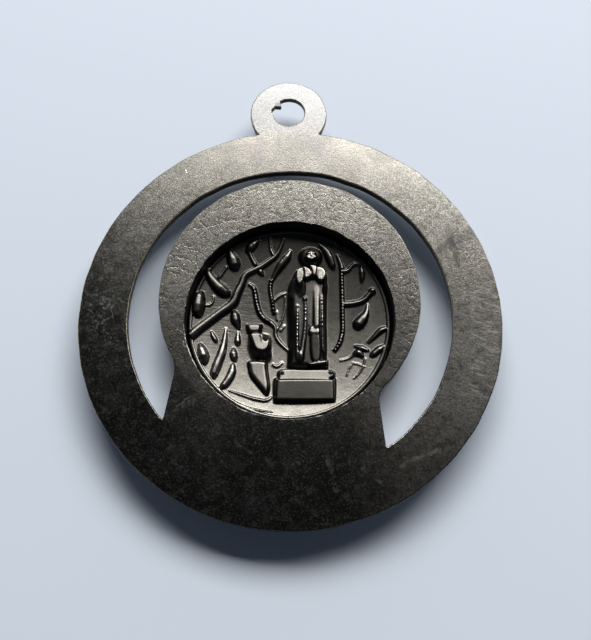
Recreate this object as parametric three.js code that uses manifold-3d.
// Religious medal pendant: a flat plate with an eye at the top and a crescent window sawn round its
// inner disc, and a struck medal with a devotional scene in relief, seated in a round recess.
// Millimetres, +Z up. The pendant lies on the boss of its hidden side, with the relief facing up.
// The origin is on the resting face of the boss, under the centre of the ring, and +Y points at the eye.
import * as THREE from 'three';
import { mergeVertices } from 'three/addons/utils/BufferGeometryUtils.js';
import Module from 'manifold-3d';

const wasm = await Module();
wasm.setup();

// Plate
const RING_RADIUS = 14;
const WINDOW_RADIUS = 10.76;
const INNER_RADIUS = 8.76;
const CRESCENT_TOP_GAP = 0.65;
const INNER_X = -0.06;
const PLATE_THICKNESS = 0.6;

// Neck that joins the inner disc to the ring: its four corners, in degrees round each circle
const WAIST_LEFT_ANGLE = 213;
const WAIST_RIGHT_ANGLE = 310.5;
const TIP_LEFT_ANGLE = 221.5;
const TIP_RIGHT_ANGLE = 304;
const WAIST_ROUND = 0.8;
const TIP_ROUND = 0.25;

// Eye that a jump ring passes through
const EYE_RADIUS = 2.76;
const EYE_STANDOFF = 1.53;
const EYE_X = -0.17;
const EYE_HOLE_RADIUS = 1.13;
const EYE_HOLE_RISE = 0.13;

// Recess and the boss that it makes on the hidden side
const RECESS_RADIUS = 7;
const RECESS_X = -0.04;
const RECESS_DROP = 1.5;
const RECESS_DEPTH = 1.1;
const BOSS_WALL = 0.45;
const BOSS_FLOOR = 0.35;
const BOSS_CHAMFER = 0.25;

// Struck medal in the recess
const MEDAL_CLEARANCE = 0.28;
const MEDAL_SHIFT_X = -0.08;
const MEDAL_SHIFT_Y = 0.16;
const SEAT_CLEARANCE = 0.03;
const MEDAL_WEB = 0.28;
const FIELD_DISH = 0.6;
const SEAT_RADIUS = 3;
const RIM_WIDTH = 0.26;
const RIM_HEIGHT = 0.1;
const RELIEF_HEIGHT = 0.9;
const RELIEF_SINK = 0.12;

// How high the bars of the relief stand, as shares of their half width
const STEM_FULLNESS = 1;
const LEAF_FULLNESS = 0.75;
const ROBE_FULLNESS = 0.5;
const SLEEVE_FULLNESS = 3;
const BODY_FULLNESS = 0.8;
const ARM_FULLNESS = 1.1;

// A bar is round in section at 1, and its sides grow steeper and its back flatter towards 0
const ROUND = 1;
const ROBE_ROUNDNESS = 0.6;
const FOLD_COUNT = 8;
const FOLD_SHARE = 0.1;

// Roundness of the faceted curves
const RING_SEGMENTS = 96;
const WINDOW_SEGMENTS = 72;
const RECESS_SEGMENTS = 72;
const EYE_SEGMENTS = 32;
const STEM_SIDES = 6;
const LEAF_SIDES = 8;
const BODY_SIDES = 10;
const ROBE_SIDES = 36;

// Joining can leave specks and slivers where faces graze: bodies under this many cubic millimetres are
// left out, and detail finer than this many millimetres is merged
const SPECK_VOLUME = 0.001;
const SLIVER_SIZE = 0.002;

// Places that follow from the sizes
const INNER_Y = WINDOW_RADIUS - CRESCENT_TOP_GAP - INNER_RADIUS;
const RECESS_Y = INNER_Y - RECESS_DROP;
const EYE_Y = RING_RADIUS + EYE_STANDOFF;
const MEDAL_RADIUS = RECESS_RADIUS - MEDAL_CLEARANCE;
const MEDAL_X = RECESS_X + MEDAL_SHIFT_X;
const MEDAL_Y = RECESS_Y + MEDAL_SHIFT_Y;
const FIELD_RADIUS = MEDAL_RADIUS - RIM_WIDTH;
const MEDAL_BASE_Z = BOSS_FLOOR + SEAT_CLEARANCE;
const FIELD_LOW_Z = MEDAL_BASE_Z + MEDAL_WEB;
const FIELD_EDGE_Z = FIELD_LOW_Z + FIELD_DISH;
const PLATE_TOP_Z = FIELD_EDGE_Z + RECESS_DEPTH;
const PLATE_LOW_Z = PLATE_TOP_Z - PLATE_THICKNESS;
const BOSS_RADIUS = RECESS_RADIUS + BOSS_WALL;

const TURN = Math.PI / 180;

function solid(geometry) {
  const bare = geometry.clone();
  bare.deleteAttribute('normal');
  bare.deleteAttribute('uv');
  const merged = mergeVertices(bare, 1e-4);
  return new wasm.Manifold(new wasm.Mesh({
    numProp: 3,
    vertProperties: new Float32Array(merged.attributes.position.array),
    triVerts: new Uint32Array(merged.index.array),
  }));
}

function joined(parts) {
  const whole = parts.reduce((sum, part) => sum.add(part)).simplify(SLIVER_SIZE);
  return wasm.Manifold.compose(whole.decompose().filter((body) => body.volume() > SPECK_VOLUME));
}

function mesh(name, shape, material) {
  const { vertProperties, triVerts } = shape.getMesh();
  const geometry = new THREE.BufferGeometry();
  geometry.setAttribute('position', new THREE.BufferAttribute(new Float32Array(vertProperties), 3));
  geometry.setIndex(new THREE.BufferAttribute(new Uint32Array(triVerts), 1));
  geometry.computeVertexNormals();
  const made = new THREE.Mesh(geometry, material);
  made.name = name;
  return made;
}

function onCircle(x, y, radius, degrees) {
  return new THREE.Vector2(x + radius * Math.cos(degrees * TURN), y + radius * Math.sin(degrees * TURN));
}

// Rounds the corner between two points with a curve that starts and ends `size` away from it
function roundCorner(path, before, corner, after, size) {
  const start = corner.clone().add(before.clone().sub(corner).setLength(size));
  const end = corner.clone().add(after.clone().sub(corner).setLength(size));
  path.lineTo(start.x, start.y);
  path.quadraticCurveTo(corner.x, corner.y, end.x, end.y);
}

// The plate's outline is the ring's arc, broken at the top by the arc of the eye
function plateOutline() {
  const reach = Math.hypot(EYE_X, EYE_Y);
  const along = (reach ** 2 + RING_RADIUS ** 2 - EYE_RADIUS ** 2) / (2 * reach);
  const spread = Math.acos(along / RING_RADIUS);
  const toEye = Math.atan2(EYE_Y, EYE_X);
  const right = onCircle(0, 0, RING_RADIUS, (toEye - spread) / TURN);
  const left = onCircle(0, 0, RING_RADIUS, (toEye + spread) / TURN);
  const eyeRight = Math.atan2(right.y - EYE_Y, right.x - EYE_X);
  const eyeLeft = Math.atan2(left.y - EYE_Y, left.x - EYE_X);
  const ring = new THREE.EllipseCurve(
    0, 0, RING_RADIUS, RING_RADIUS, toEye + spread, toEye - spread + 2 * Math.PI);
  const eye = new THREE.EllipseCurve(EYE_X, EYE_Y, EYE_RADIUS, EYE_RADIUS, eyeRight, eyeLeft + 2 * Math.PI);
  return new THREE.Shape([...ring.getPoints(RING_SEGMENTS), ...eye.getPoints(EYE_SEGMENTS).slice(1, -1)]);
}

// The crescent window runs over the inner disc from one side of the neck to the other
function crescentWindow() {
  const tipLeft = onCircle(0, 0, WINDOW_RADIUS, TIP_LEFT_ANGLE);
  const tipRight = onCircle(0, 0, WINDOW_RADIUS, TIP_RIGHT_ANGLE);
  const waistLeft = onCircle(INNER_X, INNER_Y, INNER_RADIUS, WAIST_LEFT_ANGLE);
  const waistRight = onCircle(INNER_X, INNER_Y, INNER_RADIUS, WAIST_RIGHT_ANGLE);
  const roundTurn = WAIST_ROUND / INNER_RADIUS / TURN;
  const tipTurn = TIP_ROUND / WINDOW_RADIUS / TURN;
  const leftStart = onCircle(INNER_X, INNER_Y, INNER_RADIUS, WAIST_LEFT_ANGLE - roundTurn);
  const path = new THREE.Path();
  const outer = new THREE.EllipseCurve(
    0, 0, WINDOW_RADIUS, WINDOW_RADIUS, (TIP_LEFT_ANGLE - tipTurn) * TURN,
    (TIP_RIGHT_ANGLE - 360 + tipTurn) * TURN, true);
  const inner = new THREE.EllipseCurve(
    INNER_X, INNER_Y, INNER_RADIUS, INNER_RADIUS, (WAIST_RIGHT_ANGLE - 360 + roundTurn) * TURN,
    (WAIST_LEFT_ANGLE - roundTurn) * TURN, false);
  const outerPoints = outer.getPoints(WINDOW_SEGMENTS);
  const innerPoints = inner.getPoints(WINDOW_SEGMENTS);
  path.moveTo(outerPoints[0].x, outerPoints[0].y);
  outerPoints.slice(1).forEach((point) => path.lineTo(point.x, point.y));
  roundCorner(path, outerPoints.at(-1), tipRight, waistRight, TIP_ROUND);
  roundCorner(path, tipRight, waistRight, innerPoints[0], WAIST_ROUND);
  innerPoints.slice(1).forEach((point) => path.lineTo(point.x, point.y));
  roundCorner(path, leftStart, waistLeft, tipLeft, WAIST_ROUND);
  roundCorner(path, waistLeft, tipLeft, outerPoints[0], TIP_ROUND);
  return path;
}

function framePlate() {
  const outline = plateOutline();
  outline.holes.push(crescentWindow());
  const hole = new THREE.Path();
  hole.absarc(EYE_X, EYE_Y + EYE_HOLE_RISE, EYE_HOLE_RADIUS, 0, 2 * Math.PI);
  outline.holes.push(hole);
  const flat = new THREE.ExtrudeGeometry(outline, {
    depth: PLATE_THICKNESS, bevelEnabled: false, curveSegments: EYE_SEGMENTS / 4,
  });
  flat.translate(0, 0, PLATE_LOW_Z);
  const bossTop = (PLATE_LOW_Z + PLATE_TOP_Z) / 2;
  const boss = new THREE.LatheGeometry([
    new THREE.Vector2(0, 0),
    new THREE.Vector2(BOSS_RADIUS - BOSS_CHAMFER, 0),
    new THREE.Vector2(BOSS_RADIUS, BOSS_CHAMFER),
    new THREE.Vector2(BOSS_RADIUS, bossTop),
    new THREE.Vector2(0, bossTop),
  ], RECESS_SEGMENTS);
  boss.rotateX(Math.PI / 2);
  boss.translate(RECESS_X, RECESS_Y, 0);
  const cutHeight = PLATE_TOP_Z - BOSS_FLOOR + 1;
  const cut = new THREE.CylinderGeometry(RECESS_RADIUS, RECESS_RADIUS, cutHeight, RECESS_SEGMENTS);
  cut.rotateX(Math.PI / 2);
  cut.translate(RECESS_X, RECESS_Y, BOSS_FLOOR + cutHeight / 2);
  return solid(flat).add(solid(boss)).subtract(solid(cut));
}

// Height of the dished field at a point given from the medal's centre, as shares of its radius
function fieldHeight(x, y) {
  const share = Math.min(1, Math.hypot(x, y) * MEDAL_RADIUS / FIELD_RADIUS);
  return FIELD_EDGE_Z - FIELD_DISH * (1 - share ** 2);
}

// Gives the numbers of each row the names of the columns
function table(columns, rows) {
  return rows.map((row) => Object.fromEntries(columns.map((column, i) => [column, row[i]])));
}

// Places and half widths on the medal are in hundredths of its radius, from its centre
const STATION = ['x', 'y', 'halfWidth'];
const EGG = ['x', 'y', 'low', 'halfWidth', 'halfLength', 'halfHeight', 'sides'];
const BLOCK = ['left', 'bottom', 'right', 'top', 'high', 'slope'];

// Bends a bar along a row of stations and tapers it, with its lower half sunk in the field. `ripple`
// draws the bar in or out by the angle round it.
function bar(rows, { fullness, sides = STEM_SIDES, roundness = ROUND, ripple = () => 1 }) {
  const steps = 2 * rows.length - 2;
  const stations = table(STATION, rows);
  const line = new THREE.SplineCurve(stations.map(({ x, y }) => new THREE.Vector2(x / 100, y / 100)));
  const widths = new THREE.SplineCurve(
    stations.map(({ halfWidth }, i) => new THREE.Vector2(i, halfWidth / 100)));
  const form = new THREE.CylinderGeometry(1, 1, 1, sides, steps);
  const place = form.attributes.position;
  for (let i = 0; i < place.count; i += 1) {
    const share = Math.min(1, Math.max(0, 0.5 - place.getY(i)));
    const centre = line.getPoint(share);
    const ahead = line.getTangent(share);
    const width = widths.getPoint(share).y * ripple(Math.atan2(place.getZ(i), place.getX(i)));
    const across = Math.sign(place.getX(i)) * Math.abs(place.getX(i)) ** roundness;
    const up = Math.sign(place.getZ(i)) * Math.abs(place.getZ(i)) ** roundness;
    const x = centre.x - ahead.y * width * across;
    const y = centre.y + ahead.x * width * across;
    const rise = up * width * fullness * MEDAL_RADIUS;
    const z = fieldHeight(x, y) + Math.max(rise, up * RELIEF_SINK);
    place.setXYZ(i, MEDAL_X + x * MEDAL_RADIUS, MEDAL_Y + y * MEDAL_RADIUS, z);
  }
  return solid(form);
}

// An egg-shaped form, with its low point and half height as shares of the relief's height
function egg({ x, y, low, halfWidth, halfLength, halfHeight, sides }) {
  const form = new THREE.SphereGeometry(1, sides, Math.round(sides * 0.6));
  form.scale(halfWidth / 100 * MEDAL_RADIUS, halfLength / 100 * MEDAL_RADIUS, halfHeight * RELIEF_HEIGHT);
  form.translate(
    MEDAL_X + x / 100 * MEDAL_RADIUS,
    MEDAL_Y + y / 100 * MEDAL_RADIUS,
    fieldHeight(x / 100, y / 100) + low * RELIEF_HEIGHT);
  return solid(form);
}

// A block with sloped sides, with its height as a share of the relief's height
function block({ left, bottom, right, top, high, slope }) {
  const inset = slope / 100 * MEDAL_RADIUS;
  const outline = new THREE.Shape([[left, bottom], [right, bottom], [right, top], [left, top]].map(
    ([x, y]) => new THREE.Vector2(MEDAL_X + x / 100 * MEDAL_RADIUS, MEDAL_Y + y / 100 * MEDAL_RADIUS)));
  const rise = high * RELIEF_HEIGHT;
  const form = new THREE.ExtrudeGeometry(outline, {
    depth: RELIEF_SINK, bevelThickness: rise, bevelSize: inset, bevelOffset: -inset, bevelSegments: 2,
  });
  const floor = fieldHeight((left + right) / 200, (bottom + top) / 200);
  form.translate(0, 0, floor - RELIEF_SINK);
  const room = new THREE.BoxGeometry(2 * MEDAL_RADIUS, 2 * MEDAL_RADIUS, PLATE_TOP_Z);
  room.translate(MEDAL_X, MEDAL_Y, floor - RELIEF_SINK + PLATE_TOP_Z / 2);
  return solid(form).intersect(solid(room));
}

function medalBlank() {
  const edge = MEDAL_RADIUS;
  const rimTop = FIELD_EDGE_Z + RIM_HEIGHT;
  const profile = [new THREE.Vector2(0, MEDAL_BASE_Z), new THREE.Vector2(SEAT_RADIUS, MEDAL_BASE_Z)];
  profile.push(new THREE.Vector2(edge, FIELD_EDGE_Z - MEDAL_WEB));
  profile.push(new THREE.Vector2(edge, rimTop - RIM_HEIGHT / 2));
  profile.push(new THREE.Vector2(edge - RIM_WIDTH / 3, rimTop));
  profile.push(new THREE.Vector2(edge - RIM_WIDTH * 2 / 3, rimTop));
  for (const share of [1, 0.75, 0.5, 0.25, 0]) {
    const radius = share * FIELD_RADIUS;
    profile.push(new THREE.Vector2(radius, fieldHeight(radius / MEDAL_RADIUS, 0)));
  }
  const form = new THREE.LatheGeometry(profile, RECESS_SEGMENTS);
  form.rotateX(Math.PI / 2);
  form.translate(MEDAL_X, MEDAL_Y, 0);
  return solid(form);
}

// Branches, stalks and ground lines: a row for each station
const STEMS = {
  mainBranch: [[-97, -20, 3.3], [-81, 1, 3.3], [-64, 17, 3.3], [-55, 31, 3], [-49, 46, 3],
    [-41, 57, 2.7], [-31, 63, 2.5], [-20, 69, 2.2], [-12, 78, 1.8], [-6, 93, 1.3]],
  upperTwig: [[-18, 74, 1.3], [-20, 87, 1.1], [-19, 95, 1]],
  leafStalk: [[-34, 62, 1.8], [-39, 70, 1.6], [-42, 77, 1.5]],
  leftStalk: [[-73, 47, 1.4], [-69, 54, 1.3], [-64, 62, 1.3]],
  ovalStalk: [[-87, 19, 1.1], [-80, 19, 1.1], [-77, 23, 1.1], [-77, 29, 1]],
  innerStalk: [[-18, 47, 1.8], [-19, 38, 1.8], [-17, 24, 1.5], [-15, 9, 1.2]],
  innerTwig: [[-16, 24, 1.3], [-9, 30, 1.3], [-3, 32, 1.2]],
  thinBranch: [[-41, 43, 1.3], [-35, 38, 1.8], [-33, 28, 1.8], [-29, 14, 1.8], [-21, 5, 1.8],
    [-13, -1, 1.8], [-12, -11, 1.5], [-9, -19, 1.5], [0, -29, 1.3]],
  rightStem: [[52, 74, 1.9], [55, 62, 2.2], [55, 44, 2.2], [55, 22, 2.2], [55, -1, 2.2],
    [54, -12, 2.2], [51, -23, 2.1], [46, -30, 1.5]],
  rightTwig: [[55, 56, 1.8], [62, 59, 1.8], [66, 64, 1.5], [70, 66, 1.5], [75, 61, 1.2]],
  lowerTwig: [[55, 21, 1.9], [67, 22, 2.1], [78, 27, 2.1], [85, 34, 2.6]],
  edgeBranch: [[96, -7, 2.1], [91, -12, 2.5], [84, -18, 1.5], [77, -25, 1.3]],
  groundLine: [[-58, -72, 1], [-43, -77, 1.3], [-28, -81, 1.4], [-21, -81, 1.3], [-16, -78, 1]],
  lowGroundLine: [[-56, -80, 0.9], [-43, -86, 1], [-28, -90, 1], [-15, -92, 0.9]],
  grassStalk: [[75, -36, 1.2], [72, -51, 1], [64, -60, 0.9]],
};

// Leaves and drops: a row for each station
const LEAVES = {
  topLeaf: [[-43, 75, 1.8], [-40, 82, 4], [-36, 87, 3], [-32, 92, 1]],
  branchDrop: [[-31, 60, 1.5], [-29, 55, 2.7], [-26, 51, 1.5]],
  upperLeaf: [[-65, 79, 1.4], [-60, 73, 4.5], [-56, 66, 6.2], [-53, 57, 3]],
  commaLeaf: [[-83, 59, 1.8], [-81, 51, 3.7], [-76, 43, 4.9], [-69, 35, 6.2], [-60, 32, 3]],
  leftOval: [[-88, 34, 2.2], [-91, 27, 5.2], [-92, 18, 6], [-92, 10, 5.2], [-91, 4, 1.8]],
  slimLeaf: [[1, 79, 1.5], [-3, 70, 4.2], [-10, 61, 3.7], [-16, 51, 2.2], [-18, 44, 1.6]],
  teardrop: [[-55, 10, 2.2], [-54, 5, 4.8], [-52, -1, 3.6],
    [-50, -7, 1.2], [-51, -18, 2.5], [-51, -23, 1.8]],
  smallDrop: [[-77, -9, 1.2], [-75, -15, 2.4], [-73, -20, 1.6]],
  lowerOval: [[-87, -23, 2.2], [-86, -29, 4.8], [-84, -36, 5.4], [-83, -43, 2.7]],
  longBlade: [[-62, -6, 1], [-64, -21, 2.1], [-67, -36, 3], [-72, -50, 3.6], [-75, -57, 2.2]],
  middleDrop: [[-54, -28, 1.5], [-55, -34, 3.3], [-54, -40, 1.8]],
  bentBlade: [[-55, -46, 2.1], [-56, -54, 3], [-61, -63, 3], [-67, -69, 1.8]],
  veilLeaf: [[32, 86, 1.2], [39, 79, 3.3], [43, 70, 3.9], [46, 59, 2.2]],
  edgeLeaf: [[48, 86, 1.2], [52, 82, 2.7], [55, 78, 1.5]],
  hangingLeaf: [[75, 60, 1.5], [76, 53, 2.5], [75, 42, 1.2]],
  rightDrop: [[80, 21, 1], [78, 11, 3], [74, 3, 5.1], [69, -3, 5.4], [68, -8, 2.2]],
  crossLeafUpper: [[64, -23, 1.4], [72, -28, 3], [79, -30, 1.4]],
  crossLeafLower: [[61, -37, 1.2], [69, -32, 3.7], [76, -38, 1.5]],
  lowerLeaf: [[94, -25, 1.4], [90, -29, 3], [83, -34, 2.4]],
};

// The robed figure from the shoulders down, and the pedestal that it stands on
const ROBE = [[20, 64, 8], [20, 57, 17], [20, 46, 21], [20, 12, 21], [20, -48, 22.5]];
const SLEEVES = [
  [[6, 57, 4.5], [9, 48, 5.5], [17, 49, 4.5], [21, 53, 3]],
  [[35, 57, 4.5], [32, 49, 5.5], [25, 50, 4.5], [21, 54, 3]],
];
const HANDS_AND_HEAD = table(EGG, [
  [21, 55, 0.8, 2.6, 5, 0.28, 8],
  [24, 73, 0.25, 12, 13, 0.55, 14],
  [24, 71.5, 0.62, 7, 9.5, 0.3, 12],
  [24, 71, 0.9, 1.3, 2.6, 0.09, 6],
]);
const PEDESTAL = table(BLOCK, [
  [-9, -60, 43, -49, 0.42, 3],
  [-15.5, -84, 46.5, -58, 0.55, 5],
]);

function robedFigure() {
  const ripple = (angle) => 1 - FOLD_SHARE * (1 - Math.cos(FOLD_COUNT * angle)) / 2;
  const robe = { fullness: ROBE_FULLNESS, roundness: ROBE_ROUNDNESS, sides: ROBE_SIDES, ripple };
  const parts = [bar(ROBE, robe)];
  parts.push(...SLEEVES.map((sleeve) => bar(sleeve, { fullness: SLEEVE_FULLNESS, sides: LEAF_SIDES })));
  return [...parts, ...HANDS_AND_HEAD.map(egg), ...PEDESTAL.map(block)];
}

// The kneeling figure faces the robed one, with its hands raised
const KNEELING_HEAD = table(EGG, [
  [-35.5, -4.5, 0.16, 7.4, 5.6, 0.36, 12],
  [-30, -5.5, 0.16, 1.8, 1.6, 0.2, 6],
]);
const KNEELING_BACK = [[-38, -11, 4.5], [-35, -20, 8], [-31, -30, 9.5], [-28, -38, 6]];
const KNEELING_ARMS = [[-28, -33, 5], [-21, -29, 4.5], [-20, -20, 3], [-23, -12, 1.3]];
const KNEELING_SKIRT = [[-32, -39, 6.5], [-31, -48, 8], [-27, -60, 5], [-21, -74, 1.4]];

function kneelingFigure() {
  return [
    ...KNEELING_HEAD.map(egg),
    bar(KNEELING_BACK, { fullness: BODY_FULLNESS, sides: BODY_SIDES }),
    bar(KNEELING_ARMS, { fullness: ARM_FULLNESS, sides: LEAF_SIDES }),
    bar(KNEELING_SKIRT, { fullness: BODY_FULLNESS, sides: BODY_SIDES }),
  ];
}

function centreMedal() {
  const parts = [medalBlank(), ...robedFigure(), ...kneelingFigure()];
  parts.push(...Object.values(STEMS).map((rows) => bar(rows, { fullness: STEM_FULLNESS })));
  const leaf = { fullness: LEAF_FULLNESS, sides: LEAF_SIDES };
  parts.push(...Object.values(LEAVES).map((rows) => bar(rows, leaf)));
  return joined(parts);
}

const plateMetal = new THREE.MeshStandardMaterial({ color: 0x6f6c64, roughness: 0.42, metalness: 1 });
const reliefMetal = new THREE.MeshStandardMaterial({ color: 0x8b8880, roughness: 0.3, metalness: 1 });

const pendant = new THREE.Group();
pendant.add(mesh('frame_plate', framePlate(), plateMetal));
pendant.add(mesh('centre_medal', centreMedal(), reliefMetal));

export default pendant;
